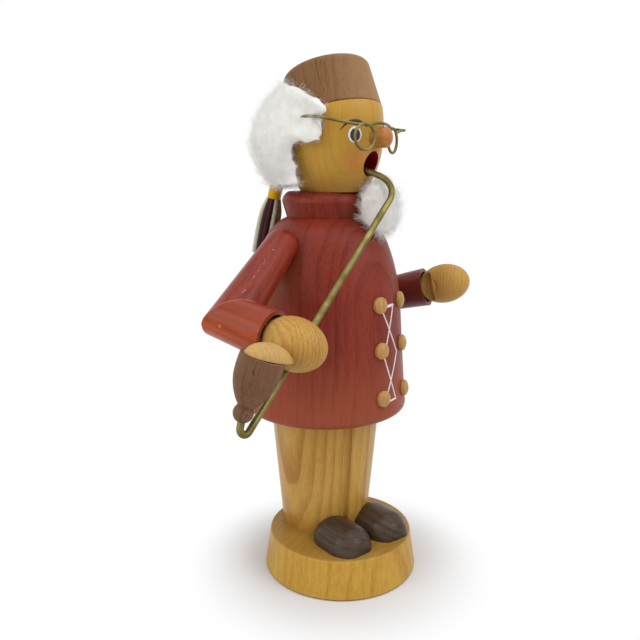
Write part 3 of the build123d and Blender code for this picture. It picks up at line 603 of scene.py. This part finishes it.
def shoe_wood():
    return wood("shoe_dark_wood", srgb(82, 65, 50), srgb(42, 32, 25), srgb(24, 17, 13), axis=SHOE_AXIS,
                fibre=1.5, pores=0.5, roughness=0.38, spread=0.25, coat=0.18, coat_roughness=0.25, bump=0.25)


def button_wood():
    return wood("button_wood", srgb(192, 148, 88), srgb(160, 114, 60), TAN_PORE, pith=(10, 20, 0),
                ring_width=1.4, ring=0.4, pores=0.4, roughness=0.38, coat=0.12)


def dowel_wood():
    return wood("dowel_bare_wood", srgb(214, 180, 126), srgb(180, 140, 86), srgb(140, 100, 54),
                roughness=0.6)


def walnut(name, axis, centre, early, late):
    return wood(name, early, late, srgb(62, 38, 24), axis=axis, centre=centre, pith=(12, 40, 0),
                ring_width=2.2, ring=0.35, fibre=1.5, pores=0.6, roughness=0.5, bump=0.25)


def cap_wood():
    """Walnut with painted light, lighter towards the front left of the cap."""
    made = walnut("cap_walnut", CAP_AXIS, CAP_PLACE, srgb(129, 92, 57), srgb(91, 60, 35))
    tree = made.node_tree
    # Painted light: the cap turns lighter towards its front left.
    forward = vector_calc(tree, "DOT_PRODUCT", object_point(tree), CAP_LIT_WAY)
    lit_side = ramp(tree, forward, CAP_LIT_FROM * MM, CAP_LIT_TO * MM, 0.0, 0.55)
    paint_over(made, lit_side, srgb(178, 138, 96))
    return made


def bowl_wood():
    return walnut("bowl_walnut", BOWL_AXIS, BOWL_FOOT, srgb(126, 90, 64), srgb(84, 56, 38))


# Metals

def brass_wire():
    """Dull brass, with olive tarnish in patches."""
    tones = (srgb(134, 122, 74), srgb(100, 91, 50))
    made, _, shader = mottled("brass_wire", (0.16, 0.16, 0.16), detail=3.0, crispness=0.55, tones=tones,
                              blend=(0.3, 0.75), gloss=(0.3, 0.75), roughness=(0.42, 0.6))
    shader.inputs["Metallic"].default_value = 1.0
    return made


def pressed_metal():
    """Pale tray metal, stained brown in patches."""
    tones = (srgb(196, 190, 178), srgb(110, 92, 70))
    made, _, shader = mottled("pressed_tray_metal", (0.3, 0.3, 0.3), detail=5.0, crispness=0.65, tones=tones,
                              blend=(0.4, 0.75), gloss=(0.3, 0.8), roughness=(0.3, 0.6))
    shader.inputs["Metallic"].default_value = 1.0
    return made


def dress_model():
    """Gives every node of the model its finish."""
    brass = brass_wire()
    metal = pressed_metal()
    shoe = shoe_wood()
    dowel = dowel_wood()
    finishes = {
        "base": base_wood(),
        "leg_block": leg_wood(),
        "head": head_wood(),
        "nose": nose_wood(),
        "jacket": jacket_wood(),
        "cap": cap_wood(),
        "pipe_bowl": bowl_wood(),
        "right_upper_sleeve": right_sleeve_wood(),
        "right_forearm": right_cuff_wood(),
        "left_upper_sleeve": left_sleeve_wood(),
        "left_forearm": left_cuff_wood(),
        "right_hand": right_hand_wood(),
        "left_hand": hand_wood("left_hand_wood", LEFT_HAND, pith=(-10, 34, 0), ring=0.3, pores=0.2),
        "buttons": button_wood(),
        "right_shoe": shoe,
        "left_shoe": shoe,
        "pipe_stem": brass,
        "spectacles": brass,
        "incense_tray": metal,
        "tray_nail": metal,
    }
    for name, node in NODES.items():
        node.data.materials.clear()
        node.data.materials.append(finishes.get(name, dowel))


# Modelling helpers

def start_piece():
    """Leaves nothing selected, so that an operator acts on the new piece alone."""
    if bpy.context.object and bpy.context.object.mode != "OBJECT":
        bpy.ops.object.mode_set(mode="OBJECT")
    bpy.ops.object.select_all(action="DESELECT")


def select_only(*pieces):
    start_piece()
    for piece in pieces:
        piece.select_set(True)
    bpy.context.view_layer.objects.active = pieces[0]


def apply_modifier(piece, kind, **settings):
    select_only(piece)
    made = piece.modifiers.new(kind.lower(), kind)
    for label, value in settings.items():
        setattr(made, label, value)
    bpy.ops.object.modifier_apply(modifier=made.name)


def join_pieces(name, pieces):
    select_only(*pieces)
    if len(pieces) > 1:
        bpy.ops.object.join()
    made = bpy.context.object
    made.name = name
    made.data.name = name
    return made


def finish_piece(piece, finish, body, stands_for=()):
    """Gives a piece its material and the body it moves with, and hides the nodes that it takes the place of.
    """
    piece.data.materials.clear()
    piece.data.materials.append(finish)
    select_only(piece)
    bpy.ops.object.shade_smooth()
    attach(piece, body)
    if stands_for:
        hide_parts(*stands_for)


def surface_point(node, angle, z, axis_y, reach=40.0):
    """The point of a turned node at an angle from the front and a height, and the way out of it there."""
    outward = Vector((sin(radians(angle)), -cos(radians(angle)), 0))
    far = mm((0, axis_y, z)) + outward * reach * MM
    _, place, normal, _ = NODES[node].ray_cast(far, -outward)
    return place, normal


def tube(places, radii, smoothness, roundness):
    """A closed round tube through places, with a radius in millimetres at each."""
    start_piece()
    bpy.ops.curve.primitive_nurbs_path_add()
    made = bpy.context.object
    spline = made.data.splines[0]
    spline.points.add(len(places) - len(spline.points))
    for knot, place, radius in zip(spline.points, places, radii):
        knot.co = (*place, 1.0)
        knot.radius = radius
    spline.order_u = 3
    spline.use_endpoint_u = True
    made.data.resolution_u = smoothness
    made.data.bevel_depth = MM
    made.data.bevel_resolution = roundness
    made.data.use_fill_caps = True
    bpy.ops.object.convert(target="MESH")
    return bpy.context.object


# Painted face and lacing

def paint(name, colour, roughness):
    """Brushed enamel, slightly uneven in gloss."""
    shade = tuple(value * 0.86 for value in colour[:3]) + (1.0,)
    made, _, _ = mottled(name, (0.8, 0.8, 0.8), detail=3.0, crispness=0.5, tones=(colour, shade),
                         blend=(0.35, 0.75), gloss=(0.3, 0.7), roughness=(roughness, roughness + 0.15))
    return made


def paint_disc(name, angle, z, half_size, lift):
    """An oval film of paint that follows the head."""
    place, normal = surface_point("head", angle, z, HEAD_Y)
    start_piece()
    bpy.ops.mesh.primitive_circle_add(vertices=48, radius=1.0, fill_type="NGON")
    disc = bpy.context.object
    disc.name = name
    bpy.ops.object.mode_set(mode="EDIT")
    bpy.ops.mesh.select_all(action="SELECT")
    for _ in range(4):
        bpy.ops.mesh.inset(thickness=0.19)
    bpy.ops.object.mode_set(mode="OBJECT")
    disc.scale = (half_size[0] * MM, half_size[1] * MM, MM)
    disc.rotation_euler = normal.to_track_quat("Z", "Y").to_euler()
    disc.location = place + normal * MM
    bpy.ops.object.transform_apply(location=True, rotation=True, scale=True)
    apply_modifier(disc, "SHRINKWRAP", target=NODES["head"], wrap_method="NEAREST_SURFACEPOINT",
                   wrap_mode="ABOVE_SURFACE", offset=lift * MM)
    apply_modifier(disc, "SOLIDIFY", thickness=lift * 1.5 * MM, offset=-1.0)
    return disc


def brush_line(points, radii):
    """A bead of paint through points on a surface, sunk by a part of its thickness."""
    places = [place - normal * radius * 0.45 * MM for (place, normal), radius in zip(points, radii)]
    return tube(places, radii, smoothness=6, roundness=3)


def painted_face():
    """Two eyes with black pupils, and a brow over each."""
    white = paint("eye_white_paint", srgb(236, 236, 230), 0.3)
    black = paint("eye_black_paint", srgb(20, 21, 24), 0.2)
    brow_black = paint("brow_black_paint", srgb(24, 20, 18), 0.4)
    for side, word in ((-1, "right"), (1, "left")):
        eye = paint_disc(word + "_eye_white", side * EYE_ANGLE, EYE_Z, EYE_WHITE_SIZE, EYE_WHITE_LIFT)
        finish_piece(eye, white, "figure")
        pupil = paint_disc(word + "_pupil", side * (EYE_ANGLE - PUPIL_SHIFT), EYE_Z - PUPIL_SHIFT,
                           PUPIL_SIZE, PUPIL_LIFT)
        finish_piece(pupil, black, "figure")
        points = [surface_point("head", side * angle, z, HEAD_Y) for angle, z, _ in BROW_CURVE]
        brow = brush_line(points, [width for _, _, width in BROW_CURVE])
        brow.name = word + "_brow"
        finish_piece(brow, brow_black, "figure")


def painted_lacing():
    """White lines that cross twice between the button rows, closed by a bar above and below."""
    white = paint("lacing_white_paint", srgb(226, 218, 218), 0.45)
    (top_right, top_left), (mid_right, mid_left) = LACING_TOP, LACING_MIDDLE
    low_right, low_left = LACING_LOW
    strokes = [
        (top_right, top_left, 0.6), (top_right, mid_left, 0.4), (top_left, mid_right, 0.4),
        (mid_left, low_right, 0.4), (mid_right, low_left, 0.4), (low_right, low_left, 0.42),
    ]
    lines = []
    for (start, start_z), (end, end_z), width in strokes:
        points = []
        for step in range(LACING_STEPS + 1):
            share = step / LACING_STEPS
            angle = start + (end - start) * share
            points.append(surface_point("jacket", angle, start_z + (end_z - start_z) * share, 0.0))
        lines.append(brush_line(points, [width] * len(points)))
    lacing = join_pieces("painted_lacing", lines)
    finish_piece(lacing, white, "figure")


# Wool

def wool(name, pits):
    """Matt white wool, a little darker deep in the tufts, with a soft sheen; a felted mass is pitted."""
    tones = (srgb(253, 253, 249), srgb(241, 239, 231))
    made, tree, shader = mottled(name, (0.3, 0.3, 0.3), detail=4.0, crispness=0.6, tones=tones,
                                 blend=(0.3, 0.75), gloss=(0.2, 0.8), roughness=(0.75, 0.95))
    fuzz = noise(tree, scaled(tree, object_point(tree), (2.6, 2.6, 2.6)), 4.0, 0.7)
    emboss(tree, shader, fuzz, strength=pits, depth=0.5)
    shader.inputs["Specular IOR Level"].default_value = 0.15
    shader.inputs["Sheen Weight"].default_value = 0.7
    shader.inputs["Subsurface Weight"].default_value = 0.3
    shader.inputs["Subsurface Radius"].default_value = (0.002, 0.002, 0.0018)
    shader.inputs["Subsurface Scale"].default_value = 1.0
    return made


def copy_of_node(node, name):
    """A merged copy of a node of the model, free to be shaped."""
    select_only(NODES[node])
    bpy.ops.object.duplicate()
    made = bpy.context.object
    made.name = name
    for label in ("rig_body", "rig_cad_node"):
        del made[label]
    bpy.ops.object.parent_clear(type="CLEAR_KEEP_TRANSFORM")
    bpy.ops.object.mode_set(mode="EDIT")
    bpy.ops.mesh.select_all(action="SELECT")
    bpy.ops.mesh.remove_doubles(threshold=0.00001)
    bpy.ops.mesh.normals_make_consistent(inside=False)
    bpy.ops.object.mode_set(mode="OBJECT")
    return made


def clouds(name, size, depth):
    made = bpy.data.textures.new(name, "CLOUDS")
    made.noise_scale = size * MM
    made.noise_depth = depth
    return made


def fleece(lump, shrink, cutters):
    """Remeshes a plain wool form, cuts it, draws it in by the length of its fluff and tufts it softly."""
    name = lump.name
    apply_modifier(lump, "REMESH", mode="VOXEL", voxel_size=WOOL_VOXEL * MM)
    for tool in cutters:
        apply_modifier(lump, "BOOLEAN", operation="DIFFERENCE", object=tool, solver="EXACT")
        bpy.data.objects.remove(tool)
        apply_modifier(lump, "REMESH", mode="VOXEL", voxel_size=WOOL_VOXEL * MM)
    apply_modifier(lump, "SMOOTH", factor=0.6, iterations=12)
    apply_modifier(lump, "DISPLACE", strength=-shrink * MM, mid_level=0.0)
    for size, strength in WOOL_TUFTS:
        apply_modifier(lump, "DISPLACE", texture=clouds(f"{name}_{size}", size, 2), texture_coords="LOCAL",
                       strength=strength * MM, mid_level=0.55)


def fibres(lump, name, children, seed, count, length, thickness, curl):
    """Fine curly wool fibres that grow from a lump, as closed tubes."""
    select_only(lump)
    bpy.ops.object.particle_system_add()
    system = lump.particle_systems[0]
    system.seed = seed
    growth = system.settings
    growth.type = "HAIR"
    growth.count = count
    growth.use_advanced_hair = True
    growth.hair_length = length * MM
    growth.brownian_factor = length * MM * 0.35
    growth.display_step = 2
    growth.child_type = "INTERPOLATED"
    growth.child_percent = children
    growth.rendered_child_count = children
    growth.clump_factor = 0.35
    growth.kink = "CURL"
    growth.kink_amplitude = curl * MM
    growth.kink_frequency = 1.6
    growth.roughness_1 = curl * MM
    growth.roughness_2 = curl * MM
    growth.roughness_endpoint = curl * MM * 1.4
    bpy.context.view_layer.update()
    bpy.ops.object.modifier_convert(modifier=lump.modifiers[-1].name)
    strands = bpy.context.object
    select_only(lump)
    bpy.ops.object.particle_system_remove()
    select_only(strands)
    bpy.ops.object.convert(target="CURVE")
    strands.data.bevel_depth = thickness / 2 * MM
    strands.data.bevel_resolution = 0
    strands.data.use_fill_caps = True
    bpy.ops.object.convert(target="MESH")
    strands = bpy.context.object
    strands.name = name
    strands.data.name = name
    return strands


def furrow(start, end, radius):
    """A round bar along a line, to press a furrow into a wool form."""
    start_piece()
    way = mm(end) - mm(start)
    turn = way.to_track_quat("Z", "Y").to_euler()
    middle = (mm(start) + mm(end)) / 2
    bpy.ops.mesh.primitive_cylinder_add(vertices=16, radius=radius * MM, depth=way.length, location=middle,
                                        rotation=turn)
    return bpy.context.object


def tuft(place, radii):
    """An oval lump of wool, to be melted into a fleece."""
    start_piece()
    bpy.ops.mesh.primitive_uv_sphere_add(segments=16, ring_count=10, radius=MM, location=mm(place),
                                         scale=radii)
    bpy.ops.object.transform_apply(location=True, rotation=True, scale=True)
    return bpy.context.object


def round_tuft(place, radius):
    return tuft(place, (radius, radius, radius))


def loose_edges():
    """Lumps along the lower edge of the sideburns, down the front of the hair, around the nape and up the
    sides of the cap, one behind the cap and one over the tassel."""
    chance = random.Random(5)
    lumps = [tuft(BEHIND_CAP, BEHIND_CAP_RADII), tuft(OVER_TASSEL, OVER_TASSEL_RADII)]
    for step in range(17):
        size = chance.uniform(1.9, 2.7)
        place = on_head(96 + 10.5 * step, 20.6, NAPE_Z + chance.uniform(-0.5, 0.5))
        lumps.append(round_tuft(place, size))
    for side in (-1, 1):
        for step in range(9):
            size = chance.uniform(1.1, 2.0)
            place = on_head(side * (71 + 3.6 * step), 21.0, SIDEBURN_Z + chance.uniform(-0.9, 0.5))
            lumps.append(round_tuft(place, size))
        for step in range(8):
            size = chance.uniform(1.2, 2.1)
            turn = 97 + 0.55 * step + chance.uniform(-3.0, 2.0)
            lumps.append(round_tuft(on_head(side * turn, 21.2, HAIR_FRONT_Z + 1.6 * step), size))
        for step in range(11):
            size = chance.uniform(2.5, 3.2)
            climb = min(step / 7, 1.0)
            height = HAIR_BESIDE_CAP_H * climb ** 0.8 - 2.0
            lumps.append(round_tuft(on_cap(side * (70 + 6.6 * step), HAIR_BESIDE_CAP_R, height), size))
    return lumps


def grow_wool(lump, node, mass, loose, layers, children, seed):
    """Covers a fleece with layers of fluff and longer wisps, in place of a plain wool node."""
    for layer in range(layers):
        fluff = fibres(lump, f"{node}_fluff_{layer + 1}", children, seed + layer, **FLUFF)
        finish_piece(fluff, loose, "figure")
    wisps = fibres(lump, node + "_wisps", children, seed + 50, **WISPS)
    finish_piece(wisps, loose, "figure")
    finish_piece(lump, mass, "figure", (node,))


def wool_pieces():
    felted = wool("felted_wool", pits=0.6)
    loose = wool("loose_wool", pits=0.1)
    hair = copy_of_node("hair", "hair_fleece")
    hair = join_pieces(hair.name, [hair, *loose_edges()])
    temple = furrow(on_head(*TEMPLE_FRONT), on_head(*TEMPLE_BACK), TEMPLE_FURROW_R)
    fleece(hair, HAIR_SHRINK, [temple, copy_of_node("cap", "cap_room")])
    grow_wool(hair, "hair", felted, loose, layers=3, children=9, seed=11)
    beard = copy_of_node("beard", "beard_fleece")
    fleece(beard, BEARD_SHRINK, [])
    grow_wool(beard, "beard", loose, loose, layers=1, children=5, seed=23)


# Tassel

def yarn(name, bright, shade):
    """Spun yarn, flecked along its length."""
    made, _, shader = mottled(name, (2.0, 2.0, 0.9), detail=4.0, crispness=0.65, tones=(bright, shade),
                              blend=(0.3, 0.7), gloss=(0.2, 0.8), roughness=(0.5, 0.8))
    shader.inputs["Specular IOR Level"].default_value = 0.2
    shader.inputs["Sheen Weight"].default_value = 0.08
    return made


def tassel_point(down, out, side):
    """A point of the tassel: down along its axis, out from the back of the figure, and to its left."""
    lean = radians(TASSEL_LEAN)
    axis = Vector((0, sin(lean), -cos(lean)))
    away = Vector((0, cos(lean), sin(lean)))
    return mm(TASSEL_TOP) + (axis * down + away * out + Vector((side, 0, 0))) * MM


def yarn_strand(out, side, radius):
    """One strand: gathered under the band, swelling to its place in the skirt and hanging to a cut end."""
    places = [tassel_point(down, spread * out, spread * side) for down, spread in STRAND_ROUTE]
    return tube(places, [radius] * len(places), smoothness=8, roundness=4)


def tassel_band(finish):
    """Turns of yarn wound side by side around the head of the tassel."""
    start_piece()
    bpy.ops.mesh.primitive_circle_add(vertices=10, radius=BAND_YARN_R * MM, rotation=(pi / 2, 0, 0),
                                      location=(BAND_R * MM, 0, 0))
    band = bpy.context.object
    bpy.ops.object.transform_apply(location=True, rotation=True, scale=True)
    apply_modifier(band, "SCREW", axis="Z", angle=2 * pi, screw_offset=BAND_PITCH * MM,
                   iterations=BAND_TURNS, steps=32, render_steps=32, use_merge_vertices=False,
                   use_normal_calculate=True)
    band.rotation_euler = (radians(TASSEL_LEAN), 0, 0)
    band.location = tassel_point(BAND_TURNS * BAND_PITCH + BAND_START, 0, 0)
    bpy.ops.object.transform_apply(location=True, rotation=True, scale=True)
    finish_piece(join_pieces("tassel_band", [band]), finish, "tassel", ("tassel_wrap",))


def tassel_pieces():
    pale = yarn("pale_yarn", srgb(214, 217, 192), srgb(180, 184, 156))
    maroon = yarn("maroon_yarn", srgb(72, 28, 34), srgb(44, 16, 20))
    olive = yarn("olive_yarn", srgb(136, 122, 66), srgb(100, 88, 44))
    yellow = yarn("yellow_yarn", srgb(240, 194, 0), srgb(204, 148, 0))
    rows = [
        ("tassel_pale", pale, "yarn_pale", [(2.4, -2.5), (-2.6, -1.5), (-0.3, 3.0)], 1.05),
        ("tassel_maroon", maroon, "yarn_maroon",
         [(0.2, -2.9), (-1.2, -2.7), (2.5, 0.9), (1.4, 2.5), (0.0, 0.0)], 1.25),
        ("tassel_olive", olive, "yarn_olive", [(-3.2, 0.5), (-2.3, 2.2)], 1.0),
    ]
    for node, finish, slot, places, radius in rows:
        strands = [yarn_strand(out, side, radius) for out, side in places]
        finish_piece(join_pieces(node + "_strands", strands), finish, "tassel", (node,))
    tassel_band(yellow)


# Stage

def seen_rays(tree):
    """One for the rays that show the background: straight to the camera, by gloss or by transmission."""
    path = tree.nodes.new("ShaderNodeLightPath")
    shown = path.outputs["Is Camera Ray"]
    for label in ("Is Glossy Ray", "Is Transmission Ray"):
        shown = calc(tree, "MAXIMUM", shown, path.outputs[label])
    return shown


def floor_finish():
    """Pale grey around the base, fading into plain white: the grey ring is painted shade around the base,
    and the floor there also takes the real shadow of the figure.
    """
    made, tree, shader = new_material("pale_floor")
    shader.inputs["Base Color"].default_value = (0.74, 0.74, 0.75, 1.0)
    shader.inputs["Roughness"].default_value = 0.9
    # Painted shade: grey within the fade around the base, white beyond it.
    distance = vector_calc(tree, "DISTANCE", object_point(tree), tuple(mm(BASE_CENTRE)))
    far = ramp(tree, distance, FLOOR_FADE_FROM, FLOOR_FADE_TO)
    white = tree.nodes.new("ShaderNodeEmission")
    white.inputs["Color"].default_value = (1.0, 1.0, 1.0, 1.0)
    mix = tree.nodes.new("ShaderNodeMixShader")
    tree.links.new(calc(tree, "MULTIPLY", seen_rays(tree), far), mix.inputs["Fac"])
    tree.links.new(shader.outputs["BSDF"], mix.inputs[1])
    tree.links.new(white.outputs["Emission"], mix.inputs[2])
    tree.links.new(mix.outputs["Shader"], tree.nodes["Material Output"].inputs["Surface"])
    return made


def white_world():
    """A white background that lights the figure at a part of its brightness."""
    world = bpy.data.worlds.new("studio_world")
    world.use_nodes = True
    bpy.context.scene.world = world
    sky = world.node_tree
    strength = ramp(sky, seen_rays(sky), 0.0, 1.0, WORLD_LIGHT, 1.0)
    sky.links.new(strength, sky.nodes["Background"].inputs["Strength"])
    sky.nodes["Background"].inputs["Color"].default_value = (1.0, 1.0, 1.0, 1.0)


def studio():
    """A white floor that fades into a white background, a soft top light and two soft side lights."""
    start_piece()
    bpy.ops.mesh.primitive_plane_add(size=FLOOR_SIZE, location=(0, 0, 0))
    floor = bpy.context.object
    floor.name = "floor"
    floor.data.materials.append(floor_finish())
    white_world()
    for name, place, size, power in LAMPS:
        bpy.ops.object.light_add(type="AREA", location=place)
        lamp = bpy.context.object
        lamp.name = name
        lamp.data.size = size
        lamp.data.energy = power
        lamp.rotation_euler = (LAMP_AIM - Vector(place)).to_track_quat("-Z", "Y").to_euler()


def camera():
    turn = (radians(CAMERA_TILT), 0, radians(CAMERA_TURN))
    bpy.ops.object.camera_add(location=CAMERA_PLACE, rotation=turn)
    made = bpy.context.object
    made.data.sensor_width = CAMERA_SENSOR
    made.data.lens = CAMERA_LENS
    made.data.clip_start = CAMERA_NEAR
    bpy.context.scene.camera = made
    bpy.context.scene.view_settings.view_transform = "Standard"


dress_model()
painted_face()
painted_lacing()
wool_pieces()
tassel_pieces()
studio()
camera()
